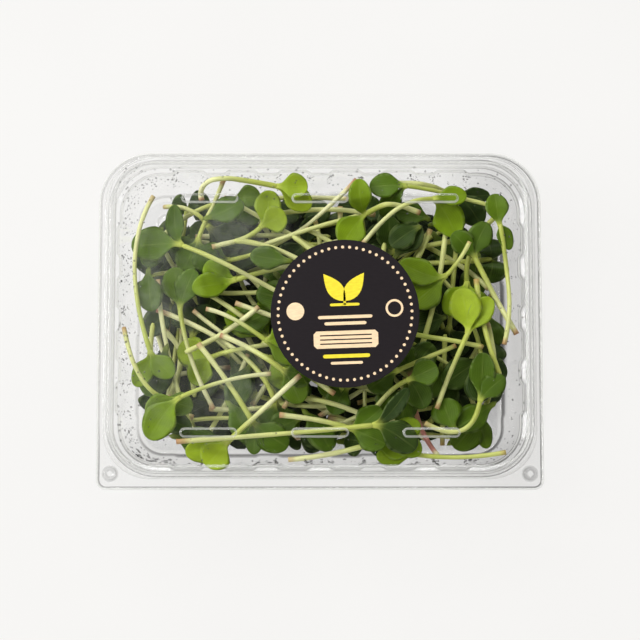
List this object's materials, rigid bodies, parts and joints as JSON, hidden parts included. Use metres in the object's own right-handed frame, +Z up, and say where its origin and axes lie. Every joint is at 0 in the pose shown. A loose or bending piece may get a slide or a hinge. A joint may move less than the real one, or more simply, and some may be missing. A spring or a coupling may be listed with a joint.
{
  "type": "sunflower microgreens tray",
  "caption": "Clear hinged plastic tray with a fluted wall and a ribbed lid, packed with cut sunflower shoots, with a round dark label on the lid.",
  "frame": {"origin": "middle of the bounding box at the tray's foot, lid shut", "axes": "+Z up, +Y towards the hinge, +X along the hinge to the right as seen from the front"},
  "size_m": [0.181, 0.1378, 0.0466],
  "materials": {
    "clear_plastic": "clear thermoformed sheet, slightly fogged inside",
    "label_paper": "satin printed label, near black with cream print",
    "shoot": "fresh leaf, satin, with pale green stem"
  },
  "bodies": {
    "tray": {"lower_bunch_01": "shoot", "lower_bunch_02": "shoot", "lower_bunch_03": "shoot", "lower_bunch_04": "shoot", "lower_bunch_05": "shoot", "lower_bunch_06": "shoot", "lower_bunch_07": "shoot", "lower_bunch_08": "shoot", "shoot_01": "shoot", "shoot_02": "shoot", "shoot_03": "shoot", "shoot_04": "shoot", "shoot_05": "shoot", "shoot_06": "shoot", "shoot_07": "shoot", "shoot_08": "shoot", "shoot_09": "shoot", "shoot_10": "shoot", "shoot_11": "shoot", "shoot_12": "shoot", "shoot_13": "shoot", "shoot_14": "shoot", "shoot_15": "shoot", "shoot_16": "shoot", "shoot_17": "shoot", "shoot_18": "shoot", "shoot_19": "shoot", "shoot_20": "shoot", "shoot_21": "shoot", "shoot_22": "shoot", "shoot_23": "shoot", "shoot_24": "shoot", "shoot_25": "shoot", "shoot_26": "shoot", "shoot_27": "shoot", "shoot_28": "shoot", "shoot_29": "shoot", "shoot_30": "shoot", "shoot_31": "shoot", "shoot_32": "shoot", "shoot_33": "shoot", "shoot_34": "shoot", "shoot_35": "shoot", "shoot_36": "shoot", "shoot_37": "shoot", "shoot_38": "shoot", "shoot_39": "shoot", "shoot_40": "shoot", "shoot_41": "shoot", "shoot_42": "shoot", "shoot_43": "shoot", "shoot_44": "shoot", "shoot_45": "shoot", "shoot_46": "shoot", "shoot_47": "shoot", "shoot_48": "shoot", "tray": "clear_plastic"},
    "lid": {"lid": "clear_plastic", "label": "label_paper"}
  },
  "joints": [
    {"name": "lid_hinge", "type": "hinge", "parent": "tray", "child": "lid", "pos_m": [0, 0.069, 0.03315], "axis": [-1, 0, 0], "range_deg": [0, 180]}
  ]
}
